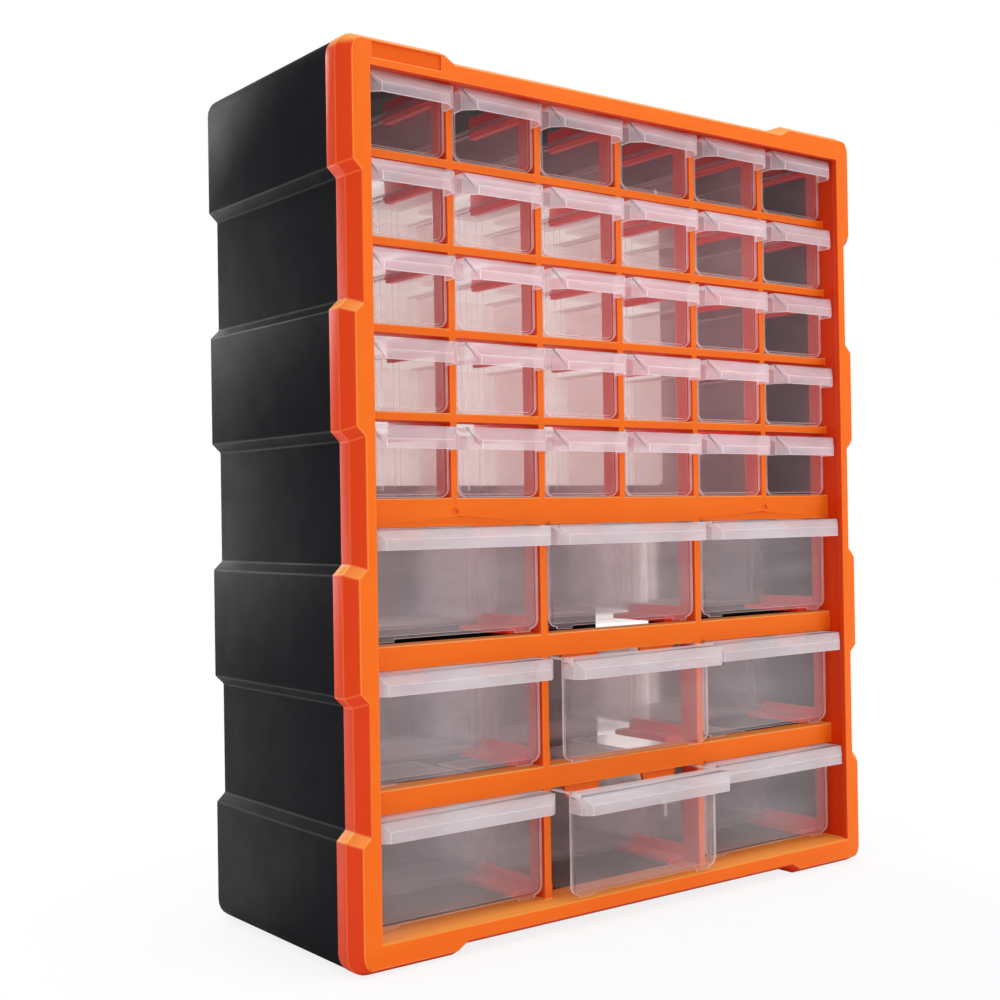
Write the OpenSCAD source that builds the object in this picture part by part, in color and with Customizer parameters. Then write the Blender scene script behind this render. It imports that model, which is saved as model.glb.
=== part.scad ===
// Parts bin cabinet: thirty small and nine large drawers in a moulded front
// frame, closed behind by a one-piece rear shell.
// Millimetres. X runs across the front, Y runs from front to back, Z is up.
// The modules measure Y from the front face of the frame. The whole cabinet is
// then moved back, so that the origin is the middle of its underside with the
// drawers as they are posed.

/* [Drawer grid] */
// Number of small drawers side by side; two of them are as wide as a large one
small_cols = 6; // [2:2:8]
// Number of rows of small drawers
small_rows = 5; // [1:1:6]
// Number of rows of large drawers
large_rows = 3; // [1:1:4]
// Width of the opening of a small drawer
small_open_w = 54.3; // [40:0.1:80]
// Height of the opening of a small drawer
small_open_h = 40.7; // [34:0.1:60]
// Height of the opening of a large drawer
large_open_h = 61.6; // [50:0.1:90]
// Width of a post between small drawers
small_post_w = 4.2; // [3:0.1:8]
// Width of a post between large drawers
large_post_w = 4.8; // [3:0.1:8]
// Height of a bar between rows of small drawers
thin_bar_h = 4.6; // [3:0.1:8]
// Height of a bar between rows of large drawers
thick_bar_h = 12.4; // [8:0.1:20]
// Height of the bar between the small and the large drawers
middle_bar_h = 15; // [8:0.1:20]
// Depth of the posts and bars, front to back
grid_depth = 15; // [10:0.5:20]
// Distance from the front face of the frame back to the posts and bars
grid_recess = 15; // [12:0.5:18]
// How much further the walls stand from the outer columns than the posts do
wall_room = 2.1; // [1:0.1:3]

/* [Front frame] */
// Width of the frame beside the drawers
stile_w = 16.6; // [15:0.1:30]
// Height of the frame below the drawers
sill_h = 15.2; // [13:0.1:25]
// Height of the frame above the drawers
head_h = 13.3; // [12:0.1:25]
// How far the front lip hangs over the top row
head_lip = 2.9; // [0:0.1:3]
// Depth of the front lip, front to back
lip_depth = 4; // [2.8:0.1:6]
// Depth of the frame's outer rim, front to back
rim_depth = 16.6; // [15:0.1:22]
// Thickness of the frame's outer rim
rim_wall = 2.2; // [1.5:0.1:2.4]
// Thickness of the frame's front face
face_t = 2.6; // [1.8:0.1:4]
// Thickness of the wall round the drawer openings
reveal_wall = 2; // [1.5:0.1:2.5]
// Wall of the hollow bars
bar_wall = 2; // [1.5:0.1:3]
// Width of the chamfer at the sides of the front face
side_chamfer_w = 6; // [2:0.1:8]
// Depth of the chamfer round the front face
chamfer_d = 7; // [3:0.1:10]
// Height of the chamfer at the top and bottom of the front face
end_chamfer_h = 3.4; // [1:0.1:5]

/* [Stepped outline] */
// Height of one band of the stepped sides
band_h = 67; // [60:0.5:72]
// How far the narrow bands stand in from the wide ones
band_step = 5; // [2:0.1:6]
// Height of the ramp between two bands
ramp_h = 5; // [3:0.1:10]
// Width of the raised pads at both ends of the top and the bottom
pad_w = 62; // [40:0.5:75]
// How far the top and bottom stand in between the pads
pad_step = 4.3; // [2:0.1:5]
// Width of the ramp beside a pad
pad_ramp_w = 7; // [3:0.1:12]
// Radius of the four corners of the outline
corner_r = 11; // [8:0.5:16]

/* [Rear shell] */
// Depth of the whole cabinet
cabinet_d = 160; // [156:0.5:190]
// Wall thickness of the rear shell
shell_wall = 2.4; // [2:0.1:4]
// How far the sides of the shell stand in from the frame's rim
shell_inset = 1; // [0.5:0.1:1.5]
// Thickness of the spigot that goes into the frame
spigot_wall = 2; // [1.8:0.1:2.4]
// Length of the spigot inside the frame
spigot_len = 8; // [4:0.5:12]
// Clearance of the spigot in the frame
spigot_gap = 0.3; // [0.2:0.05:0.5]
// Width of the back window behind the small drawers
back_window_w = 316; // [240:1:330]
// Height of the back window behind the small drawers
back_window_h = 192; // [120:1:195]
// Width of the back slots behind the outer large drawers
back_slot_w = 50; // [20:1:70]
// Height of the back slots behind the outer large drawers
back_slot_h = 186; // [60:1:190]
// Height of the lower end of the back slots
back_slot_z = 40; // [32:1:60]
// Distance from the floor of the small drawers up to the back window
back_window_rise = 10; // [6:0.5:12]
// Corner radius of the back openings
back_corner_r = 6; // [2:0.5:12]
// Distance between the left and the right keyhole
keyhole_span = 310; // [200:1:320]
// Distance of the wide end of a keyhole from the top or bottom of the cabinet
keyhole_edge = 20; // [18:0.5:24]
// Width of the wide end of a keyhole
keyhole_head_w = 8.6; // [6:0.1:10]
// Width of the narrow end of a keyhole
keyhole_slot_w = 4.4; // [3:0.1:5.5]
// Distance between the wide and the narrow end of a keyhole
keyhole_drop = 9; // [6:0.5:10]

/* [Drawers] */
// Wall thickness of the drawers
drawer_wall = 1.5; // [1.2:0.1:2]
// Gap between the body of a small drawer and its opening, each side
small_side_gap = 1.25; // [1.2:0.05:2]
// Gap between the body of a large drawer and its opening, each side
large_side_gap = 1.9; // [1.2:0.05:2.5]
// How far the front panel of a drawer is wider than its body, each side
panel_edge = 0.5; // [0.3:0.05:0.8]
// Distance from the front of the posts back to the front panel of a drawer
drawer_setback = 0.6; // [0.4:0.1:2]
// Gap between the rear end of the drawers and the outside of the back
drawer_rear_gap = 10; // [6:0.5:20]
// Height of the small drawers
small_drawer_h = 37.3; // [30:0.1:38]
// Height of the large drawers
large_drawer_h = 57.6; // [46:0.1:57.7]
// Gap between a small drawer and the bar below it
small_floor_gap = 0.5; // [0.3:0.1:1]
// Radius of the two long bottom edges
drawer_edge_r = 5; // [3:0.5:8]
// Width of the lip along the rim of a drawer
rim_lip_w = 0.85; // [0.6:0.05:0.9]
// Height of the lip along the rim of a drawer
rim_lip_h = 1.2; // [1:0.1:2]
// Width of the feet at the front of a large drawer
foot_w = 11; // [5:0.5:14]
// Height of the feet at the front of a large drawer
foot_h = 1.6; // [1:0.1:2.5]
// Distance between the two ribs that hold a divider
divider_rib_gap = 6.4; // [2:0.1:10]
// Thickness of a divider rib
divider_rib_t = 1.2; // [0.8:0.1:2]
// How far a divider rib stands out of the wall
divider_rib_w = 1; // [0.6:0.1:2]

/* [Handles] */
// Thickness of the handle lips
handle_t = 1.3; // [1:0.1:2]
// Height of a small handle lip
small_handle_h = 12.2; // [9:0.1:14]
// Height of a large handle lip
large_handle_h = 11.2; // [9:0.1:14]
// Height of the slope at the front of a small handle lip
small_slope_h = 7.2; // [3:0.1:8]
// Height of the slope at the front of a large handle lip
large_slope_h = 5.4; // [3:0.1:8]
// Depth of the slopes at the front and both ends of a small handle lip
small_slope_d = 6.5; // [3:0.1:8]
// Depth of the slopes at the front and both ends of a large handle lip
large_slope_d = 4.7; // [3:0.1:8]
// Distance from the front face of the frame to the front of a small handle lip
small_handle_setback = 0.4; // [0:0.1:2]
// How far the large handle lips stand out in front of the frame
large_handle_reach = 0.4; // [0:0.1:2]
// Gap between two handle lips side by side
handle_gap = 4.9; // [4.8:0.1:8]
// Distance from the front of the posts to the rear end of a handle lip's sides
handle_end_gap = 0.8; // [0.3:0.1:2]
// Radius of the upper corners of a handle lip
handle_corner_r = 2; // [1:0.1:3]

/* [Guides and stops] */
// Length of the guides behind the posts
guide_len = 50; // [30:1:60]
// Height of the guides of the small drawers
small_guide_h = 8; // [6:0.1:10]
// Height of the guides of the large drawers
large_guide_h = 9; // [5:0.1:14]
// Thickness of the ledges below the rim lips of the small drawers
small_ledge_t = 1.6; // [1.2:0.1:2.5]
// Height of the ledges on which the large drawers slide
large_ledge_t = 3.3; // [2.6:0.1:5]
// How far a ledge reaches below the flat floor of a large drawer
floor_overlap = 5; // [2:0.1:10]
// Running gap between a drawer and what carries or stops it
slide_gap = 0.3; // [0.2:0.05:0.5]
// Width of the stops above the large drawers, at their root
stop_w = 28; // [12:0.5:30]
// Width of the stops at their lower end
stop_tip_w = 22; // [8:0.5:26]
// Height of the stops above the large drawers
stop_h = 8; // [4:0.1:9]
// Thickness of the stops above the large drawers
stop_t = 2.5; // [1.5:0.1:4]
// Distance from the front of the bars back to the stops
stop_setback = 5.5; // [4:0.1:10]

/* [Marks] */
// Width of the bare plate recess at the top left
plate_w = 41; // [20:0.5:50]
// Height of the bare plate recess
plate_h = 8; // [5:0.1:9]
// Distance of the plate recess from the left post
plate_start = 1; // [0.5:0.1:10]
// Depth of the bare plate recess and of the round marks
mark_depth = 1; // [0.4:0.1:1.2]
// Distance from the top of the cabinet down to the middle of the plate
plate_drop = 8.2; // [7.8:0.1:9]
// Radius of the round marks on the middle bar
mark_r = 2.2; // [1:0.1:4]

/* [Pose] */
// How far the middle drawer of the lowest row stands out
low_middle_pull = 17; // [0:1:60]
// How far the middle drawer of the row above it stands out
next_middle_pull = 12; // [0:1:60]

/* [Hidden] */
large_cols = small_cols / 2;
small_pitch = small_open_w + small_post_w;
large_pitch = 2 * small_pitch;
large_open_w = large_pitch - large_post_w;
small_row_pitch = small_open_h + thin_bar_h;
large_row_pitch = large_open_h + thick_bar_h;

grid_half_w = (small_cols * small_pitch - small_post_w) / 2;
half_w = grid_half_w + stile_w;
reveal_half_w = grid_half_w + wall_room;
// The spigot starts behind the chamfer of the frame
spigot_y = max(rim_depth - spigot_len, chamfer_d + spigot_gap);
middle_bar_z = sill_h + large_rows * large_row_pitch - thick_bar_h;
small_base_z = middle_bar_z + middle_bar_h;
grid_top_z = small_base_z + small_rows * small_row_pitch - thin_bar_h;
cabinet_h = grid_top_z + head_h;

grid_back_y = grid_recess + grid_depth;
guide_end_y = grid_back_y + guide_len;
drawer_front_y = grid_recess + drawer_setback;
drawer_back_y = cabinet_d - drawer_rear_gap;
drawer_middle_y = (drawer_front_y + drawer_back_y) / 2;

// Half widths of the drawer bodies, and how high a large one is carried
small_half_w = small_open_w / 2 - small_side_gap;
large_half_w = large_open_w / 2 - large_side_gap;
large_floor_gap = large_ledge_t + slide_gap;

// The whole cabinet is moved back by this much
front_most_y = -large_handle_reach - max(low_middle_pull, next_middle_pull);
origin_y = (front_most_y + cabinet_d) / 2;

// Small overlap that joins two shapes of one piece
join = 0.5;
// Overshoot of a cut past the surface that it opens
over = 1;
// Steps of one rounded corner of the outline
corner_steps = 6;
// Smallest radius of the corners inside a handle lip
min_inner_r = 0.2;
// Number of bands up each side
band_count = max(1, 2 * floor((cabinet_h / band_h - 1) / 2) + 1);
$fn = 32;

orange = [0.96, 0.47, 0.13];
black = [0.16, 0.16, 0.17];
clear_plastic = [0.86, 0.84, 0.9, 0.7];

function small_name(row, col) = str("small_drawer_", row, "_", col);
function large_name(row, col) = str("large_drawer_", row, "_", col);
function guide_name(row) = str("guides_row_", row);

// Rows are counted from the top, columns from the left
small_names = [for (r = [1 : small_rows], c = [1 : small_cols]) small_name(r, c)];
large_names = [for (r = [1 : large_rows], c = [1 : large_cols]) large_name(r, c)];
guide_names = [for (r = [1 : small_rows + large_rows]) guide_name(r)];

// Middle of a column, and floor of a row's opening
function small_x(col) = (col - (small_cols + 1) / 2) * small_pitch;
function large_x(col) = (col - (large_cols + 1) / 2) * large_pitch;
function small_z(row) = small_base_z + (small_rows - row) * small_row_pitch;
function large_z(row) = sill_h + (large_rows - row) * large_row_pitch;

// ---- The stepped outline ----

// Height of the boundary above band k, counted from the bottom
function boundary_z(k) = cabinet_h / 2 + (k - (band_count - 2) / 2) * band_h;

// Two points of the ramp above band k, drawn in by dx; even bands are wide
function ramp_points(k, dx) =
    let (wide_below = k % 2 == 0,
         below_x = half_w - dx - (wide_below ? 0 : band_step),
         above_x = half_w - dx - (wide_below ? band_step : 0),
         shift = dx * tan(atan2(band_step, ramp_h) / 2) * (wide_below ? -1 : 1))
    [[below_x, boundary_z(k) - ramp_h / 2 + shift], [above_x, boundary_z(k) + ramp_h / 2 + shift]];

// One rounded corner, drawn in by dx and dz, from angle a0 to a0 + 90
function corner_points(z, a0, dx, dz) =
    [for (i = [0 : corner_steps])
        let (a = a0 + 90 * i / corner_steps)
        [half_w - corner_r + (corner_r - dx) * cos(a), z + (corner_r - dz) * sin(a)]];

// The two points of the ramp beside the lower right pad, drawn in by dz
function pad_points(dz) =
    let (pad_x = half_w - pad_w + dz * tan(atan2(pad_step, pad_ramp_w) / 2))
    [[pad_x - pad_ramp_w, pad_step + dz], [pad_x, dz]];

// Right half of the outline, from the middle of the bottom to the middle of the top
function half_outline(dx, dz) =
    let (low = pad_points(dz))
    concat(low,
           corner_points(corner_r, -90, dx, dz),
           [for (k = [0 : band_count - 2]) each ramp_points(k, dx)],
           corner_points(cabinet_h - corner_r, 0, dx, dz),
           [for (p = [low[1], low[0]]) [p[0], cabinet_h - p[1]]]);

// Closed outline of the cabinet seen from the front, drawn in by dx and dz
function outline(dx, dz) =
    let (right = half_outline(dx, dz), n = len(right))
    concat(right, [for (i = [n - 1 : -1 : 0]) [-right[i][0], right[i][1]]]);

// ---- Helpers ----

// A flat drawing in X and Z that runs from y0 back to y1
module slab(y0, y1) {
    translate([0, y1, 0]) rotate([90, 0, 0]) linear_extrude(height = y1 - y0) children();
}

// A drawing in Y and Z that runs half_x to both sides of the middle
module cross_slab(half_x) {
    rotate([90, 0, 90]) translate([0, 0, -half_x]) linear_extrude(height = 2 * half_x) children();
}

// A box given by its low and high corners
module box(low, high) {
    translate(low) cube(high - low);
}

// Moves a piece from the frame's front face to the cabinet's own origin
module in_cabinet() {
    translate([0, -origin_y, 0]) children();
}

// A rectangle with rounded corners, given by its low and high corners
module round_rect(low, high, r) {
    translate([low[0], low[1] + r]) square([high[0] - low[0], high[1] - low[1] - 2 * r]);
    translate([low[0] + r, low[1]]) square([high[0] - low[0] - 2 * r, high[1] - low[1]]);
    for (x = [low[0] + r, high[0] - r], z = [low[1] + r, high[1] - r])
        translate([x, z]) circle(r);
}

// ---- Front frame ----

// Convex faces that together fill an outline of 2 * n points: a face for each
// of the four corners, and strips across between mirrored points
function cap_faces(n) =
    let (m = 2 * n - 1, c = len(pad_points(0)) + corner_steps)
    concat([for (i0 = [0, n - 1 - c]) [for (i = [0 : c]) i0 + i]],
           [for (i0 = [0, n - 1 - c]) [for (i = [c : -1 : 0]) m - i0 - i]],
           [[0, c, m - c, m], [n - 1 - c, n - 1, n, n + c]],
           [for (i = [c : n - 2 - c]) [i, i + 1, m - i - 1, m - i]]);

// Outer body of the frame, with the chamfer round its front face
module frame_body() {
    face = outline(side_chamfer_w, end_chamfer_h);
    edge = outline(0, 0);
    n = len(edge);
    points = concat([for (p = face) [p[0], 0, p[1]]],
                    [for (p = edge) [p[0], chamfer_d, p[1]]],
                    [for (p = edge) [p[0], rim_depth, p[1]]]);
    front = [for (f = cap_faces(n / 2)) [for (i = [len(f) - 1 : -1 : 0]) f[i]]];
    back = [for (f = cap_faces(n / 2)) [for (i = f) 2 * n + i]];
    function ring(k) = [for (i = [0 : n - 1]) [k * n + i, k * n + (i + 1) % n,
                                               (k + 1) * n + (i + 1) % n, (k + 1) * n + i]];
    polyhedron(points, concat(front, ring(0), ring(1), back));
}

// The hollow behind the front face: narrow behind the chamfer, and wide where
// it takes the spigot of the shell; the lip round the opening stays deeper than
// the rest of the face
module frame_hollow() {
    difference() {
        union() {
            slab(face_t, chamfer_d + over) polygon(outline(side_chamfer_w, end_chamfer_h));
            slab(chamfer_d, rim_depth + over) polygon(outline(rim_wall, rim_wall));
        }
        slab(0, rim_depth + 2 * over) reveal_area(reveal_wall / 2);
    }
    slab(lip_depth, rim_depth + over) reveal_area(reveal_wall / 2);
}

// The opening through the front face, drawn in at the sides and the top
module front_opening() {
    slab(-over, lip_depth + over)
        translate([-grid_half_w, sill_h])
            square([2 * grid_half_w, grid_top_z - head_lip - sill_h]);
}

// The area between the walls round the drawers, grown by g
module reveal_area(g) {
    translate([-reveal_half_w - g, sill_h - g])
        square([2 * (reveal_half_w + g), grid_top_z - sill_h + 2 * g]);
}

// Walls round the drawers, from the front face to the back of the grid
module reveal() {
    difference() {
        slab(face_t - join, grid_back_y) reveal_area(reveal_wall);
        slab(0, grid_back_y + over) reveal_area(0);
    }
}

// The bare plate is a shallow recess at the top left
module plate_recess() {
    translate([-grid_half_w + plate_start, 0, cabinet_h - plate_drop - plate_h / 2])
        box([0, -over, 0], [plate_w, mark_depth, plate_h]);
}

module front_frame() {
    color(orange) difference() {
        union() {
            difference() {
                frame_body();
                frame_hollow();
                front_opening();
            }
            reveal();
        }
        plate_recess();
    }
}

// ---- The grid inside the frame ----

// An upright post of width w that fills the height of its row
module post(x, z, w, h) {
    box([x - w / 2, grid_recess, z], [x + w / 2, grid_back_y, z + h]);
}

// All posts, each between two bars or between a bar and the frame
module posts() {
    color(orange) {
        for (row = [1 : small_rows], col = [1 : small_cols - 1])
            post(small_x(col) + small_pitch / 2, small_z(row), small_post_w, small_open_h);
        if (large_cols > 1)
            for (row = [1 : large_rows], col = [1 : large_cols - 1])
                post(large_x(col) + large_pitch / 2, large_z(row), large_post_w, large_open_h);
    }
}

// A solid bar across the grid
module thin_bar(z) {
    box([-reveal_half_w, grid_recess, z], [reveal_half_w, grid_back_y, z + thin_bar_h]);
}

// A hollow bar across the grid, open at the back
module hollow_bar(z, h) {
    difference() {
        box([-reveal_half_w, grid_recess, z], [reveal_half_w, grid_back_y, z + h]);
        box([-reveal_half_w + bar_wall, grid_recess + bar_wall, z + bar_wall],
            [reveal_half_w - bar_wall, grid_back_y + over, z + h - bar_wall]);
    }
}

// The round marks of the mould on the middle bar
module mould_marks() {
    for (side = [-1, 1])
        translate([side * large_pitch, grid_recess, middle_bar_z + middle_bar_h / 2])
            rotate([90, 0, 0]) cylinder(h = 2 * mark_depth, r = mark_r, center = true);
}

// All bars, from one side wall of the frame to the other
module bars() {
    color(orange) {
        if (small_rows > 1)
            for (row = [1 : small_rows - 1]) thin_bar(small_z(row) - thin_bar_h);
        if (large_rows > 1)
            for (row = [1 : large_rows - 1]) hollow_bar(large_z(row) - thick_bar_h, thick_bar_h);
        difference() {
            hollow_bar(middle_bar_z, middle_bar_h);
            mould_marks();
        }
    }
}

// Two stops below each bar over a large drawer, which hold its back wall
module drawer_stops() {
    color(orange)
        for (row = [1 : large_rows], col = [1 : large_cols], side = [-1, 1])
            translate([large_x(col) + side * small_pitch / 2, 0, large_z(row) + large_open_h])
                slab(grid_recess + stop_setback, grid_recess + stop_setback + stop_t)
                    polygon([[-stop_w / 2, 0], [stop_w / 2, 0],
                             [stop_tip_w / 2, -stop_h], [-stop_tip_w / 2, -stop_h]]);
}

// ---- Rear shell ----

// A ring between two insets of the outline
module outline_ring(y0, y1, dx, dz, wall) {
    difference() {
        slab(y0, y1) polygon(outline(dx, dz));
        slab(y0 - over, y1 + over) polygon(outline(dx + wall, dz + wall));
    }
}

// A keyhole with its narrow end up or down
module keyhole(x, z, up) {
    slab(cabinet_d - shell_wall - over, cabinet_d + over) {
        translate([x, z]) circle(d = keyhole_head_w);
        translate([x - keyhole_slot_w / 2, min(z, z + up * keyhole_drop)])
            square([keyhole_slot_w, keyhole_drop]);
        translate([x, z + up * keyhole_drop]) circle(d = keyhole_slot_w);
    }
}

// The openings in the back
module back_openings() {
    window_z = small_base_z + back_window_rise;
    slab(cabinet_d - shell_wall - over, cabinet_d + over) {
        round_rect([-back_window_w / 2, window_z],
                   [back_window_w / 2, window_z + back_window_h], back_corner_r);
        for (side = [-1, 1])
            round_rect([side * large_pitch - back_slot_w / 2, back_slot_z],
                       [side * large_pitch + back_slot_w / 2, back_slot_z + back_slot_h],
                       back_corner_r);
    }
    for (side = [-1, 1]) {
        keyhole(side * keyhole_span / 2, keyhole_edge, -1);
        keyhole(side * keyhole_span / 2, cabinet_h - keyhole_edge, 1);
    }
}

module rear_shell() {
    spigot_inset = rim_wall + spigot_gap;
    color(black) difference() {
        union() {
            outline_ring(rim_depth, cabinet_d - shell_wall, shell_inset, 0, shell_wall);
            outline_ring(rim_depth, rim_depth + spigot_wall, shell_inset, 0,
                         spigot_inset + spigot_wall);
            outline_ring(spigot_y, rim_depth + spigot_wall / 2, spigot_inset, spigot_inset,
                         spigot_wall);
            slab(cabinet_d - shell_wall, cabinet_d) polygon(outline(shell_inset, 0));
        }
        back_openings();
    }
}

// ---- Guides ----

// Left and right face of what stands at the i-th edge of the columns: a post,
// or at both ends the wall round the drawers
function edge_faces(i, cols, pitch, post_w) =
    i == 0 ? [-reveal_half_w - reveal_wall, -reveal_half_w] :
    i == cols ? [reveal_half_w, reveal_half_w + reveal_wall] :
    let (x = (i - cols / 2) * pitch) [x - post_w / 2, x + post_w / 2];

// Guide of the small drawers behind one post: a web below the bar, with ledges
// that carry the rim lips and start behind the front panels, which they stop
module small_guide(i, z) {
    faces = edge_faces(i, small_cols, small_pitch, small_post_w);
    ledge_top = z + small_floor_gap + small_drawer_h - rim_lip_h - slide_gap;
    ledge_front = drawer_front_y + drawer_wall + slide_gap;
    box([faces[0], grid_back_y, z + small_open_h - small_guide_h],
        [faces[1], guide_end_y, z + small_open_h]);
    if (i > 0)
        box([small_x(i) + small_half_w + slide_gap, ledge_front, ledge_top - small_ledge_t],
            [faces[0], guide_end_y, ledge_top]);
    if (i < small_cols)
        box([faces[1], ledge_front, ledge_top - small_ledge_t],
            [small_x(i + 1) - small_half_w - slide_gap, guide_end_y, ledge_top]);
}

// Guide of the large drawers behind one post: a low web with ledges at its foot
// that carry the floors and stop the feet
module large_guide(i, z) {
    faces = edge_faces(i, large_cols, large_pitch, large_post_w);
    reach = large_half_w - drawer_edge_r - floor_overlap;
    box([faces[0], grid_back_y, z], [faces[1], guide_end_y, z + large_guide_h]);
    if (i > 0)
        box([large_x(i) + reach, grid_back_y, z], [faces[0], guide_end_y, z + large_ledge_t]);
    if (i < large_cols)
        box([faces[1], grid_back_y, z],
            [large_x(i + 1) - reach, guide_end_y, z + large_ledge_t]);
}

// The guides of one row, counted from the top
module guides_row(row) {
    color(orange)
        if (row <= small_rows)
            for (i = [0 : small_cols]) small_guide(i, small_z(row));
        else
            for (i = [0 : large_cols]) large_guide(i, large_z(row - small_rows));
}

// ---- Drawers ----

// Cross-section of a drawer body, with rounded bottom edges
module tray_profile(half, low_z, high_z, r) {
    translate([-half, low_z + r]) square([2 * half, high_z - low_z - r]);
    translate([-half + r, low_z]) square([2 * (half - r), r + join]);
    for (side = [-1, 1]) translate([side * (half - r), low_z + r]) circle(r);
}

// Open tray; its front panel is a little wider than the rest
module tray(half, low_z, high_z) {
    front = drawer_front_y;
    difference() {
        union() {
            slab(front, drawer_back_y) tray_profile(half, low_z, high_z, drawer_edge_r);
            slab(front, front + drawer_wall)
                tray_profile(half + panel_edge, low_z, high_z, drawer_edge_r + panel_edge);
        }
        slab(front + drawer_wall, drawer_back_y - drawer_wall)
            tray_profile(half - drawer_wall, low_z + drawer_wall, high_z + over,
                         drawer_edge_r - drawer_wall);
    }
}

// Plan of a handle lip: a straight back part and slanted ends
module handle_plan(half, body_half, front, slope_d) {
    bend = front + slope_d;
    end = grid_recess - handle_end_gap;
    back = drawer_front_y + join;
    side = [[half - slope_d, front], [half, bend], [half, end],
            [body_half + panel_edge, drawer_front_y], [body_half + panel_edge, back]];
    polygon(concat(side, [for (i = [len(side) - 1 : -1 : 0]) [-side[i][0], side[i][1]]]));
}

// The hollow below a handle lip, seen from above; the ends slant at 45 degrees
module handle_hollow_plan(half, body_half, front, slope_d) {
    corner = handle_t * tan(45 / 2);
    bend = front + slope_d + corner;
    side = [[half - slope_d - corner, front + handle_t], [half - handle_t, bend],
            [half - handle_t, grid_recess - handle_end_gap],
            [body_half + panel_edge - handle_t, drawer_front_y]];
    polygon(concat(side, [for (i = [len(side) - 1 : -1 : 0]) [-side[i][0], side[i][1]]]));
}

// Side view of a handle lip, drawn in by t; the hollow is open below
module handle_side(top_z, low_z, front, slope_d, slope_h, t) {
    corner = t * tan(atan2(slope_h, slope_d) / 2);
    steep = t * tan((90 - atan2(slope_h, slope_d)) / 2);
    back = drawer_front_y + (t > 0 ? 0 : join);
    polygon([[back, low_z], [front + t, low_z], [front + t, top_z - slope_h - steep],
             [front + slope_d + corner, top_z - t], [back, top_z - t]]);
}

// Front view of a handle lip, with rounded upper corners
module handle_front(half, top_z, low_z, r) {
    translate([-half, low_z]) square([2 * half, top_z - low_z - r]);
    translate([-half + r, low_z]) square([2 * (half - r), top_z - low_z]);
    for (side = [-1, 1]) translate([side * (half - r), top_z - r]) circle(r);
}

// Handle lip of a drawer, a thin shell that is open below
module handle(half, body_half, top_z, front, height, slope_d, slope_h) {
    low_z = top_z - height;
    back = drawer_front_y + join;
    difference() {
        intersection() {
            cross_slab(half) handle_side(top_z, low_z, front, slope_d, slope_h, 0);
            translate([0, 0, low_z - over])
                linear_extrude(height = height + 2 * over)
                    handle_plan(half, body_half, front, slope_d);
            slab(front - over, back + over) handle_front(half, top_z, low_z, handle_corner_r);
        }
        intersection() {
            cross_slab(half) handle_side(top_z, low_z - over, front, slope_d, slope_h, handle_t);
            translate([0, 0, low_z - 2 * over])
                linear_extrude(height = height + 4 * over)
                    handle_hollow_plan(half, body_half, front, slope_d);
            slab(front - over, back + over)
                handle_front(half - handle_t, top_z - handle_t, low_z - 3 * over,
                             max(min_inner_r, handle_corner_r - handle_t));
        }
    }
}

// Lips along both sides of the rim, behind the front panel
module rim_lips(half, top_z) {
    for (side = [-1, 1])
        box([side * half - (side > 0 ? join : rim_lip_w), drawer_front_y + drawer_wall - join,
             top_z - rim_lip_h],
            [side * half + (side > 0 ? rim_lip_w : join), drawer_back_y, top_z]);
}

// Two pairs of ribs that hold a divider across the middle
module divider_ribs(half, low_z, top_z) {
    inner = half - drawer_wall;
    for (side = [-1, 1], step = [-1, 1])
        translate([side * inner, drawer_middle_y + step * divider_rib_gap / 2, 0])
            box([side > 0 ? -divider_rib_w : -join, -divider_rib_t / 2, low_z + drawer_edge_r],
                [side > 0 ? join : divider_rib_w, divider_rib_t / 2, top_z - 2 * rim_lip_h]);
}

// Feet below the front of a large drawer, which meet the ledges when it closes
module feet(half, low_z) {
    for (side = [-1, 1])
        translate([side * (half - drawer_edge_r - foot_w / 2), 0, 0])
            box([-foot_w / 2, drawer_front_y, low_z - foot_h],
                [foot_w / 2, grid_back_y - slide_gap, low_z + join]);
}

module small_drawer(row, col) {
    top_z = small_floor_gap + small_drawer_h;
    color(clear_plastic)
        translate([small_x(col), 0, small_z(row)]) {
            tray(small_half_w, small_floor_gap, top_z);
            handle((small_pitch - handle_gap) / 2, small_half_w, top_z, small_handle_setback,
                   small_handle_h, small_slope_d, small_slope_h);
            rim_lips(small_half_w, top_z);
            divider_ribs(small_half_w, small_floor_gap, top_z);
        }
}

// How far a large drawer stands out in the pose that is drawn
function large_pull(row, col) =
    col != (large_cols + 1) / 2 ? 0 :
    row == large_rows ? low_middle_pull :
    row == large_rows - 1 ? next_middle_pull : 0;

module large_drawer(row, col) {
    top_z = large_floor_gap + large_drawer_h;
    color(clear_plastic)
        translate([large_x(col), -large_pull(row, col), large_z(row)]) {
            tray(large_half_w, large_floor_gap, top_z);
            handle((large_pitch - handle_gap) / 2, large_half_w, top_z, -large_handle_reach,
                   large_handle_h, large_slope_d, large_slope_h);
            rim_lips(large_half_w, top_z);
            divider_ribs(large_half_w, large_floor_gap, top_z);
            feet(large_half_w, large_floor_gap);
        }
}

// ---- What is drawn ----

in_cabinet() front_frame();
in_cabinet() posts();
in_cabinet() bars();
in_cabinet() drawer_stops();
in_cabinet() rear_shell();
for (row = [1 : small_rows + large_rows])
    in_cabinet() guides_row(row);
for (row = [1 : small_rows], col = [1 : small_cols])
    in_cabinet() small_drawer(row, col);
for (row = [1 : large_rows], col = [1 : large_cols])
    in_cabinet() large_drawer(row, col);
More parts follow.
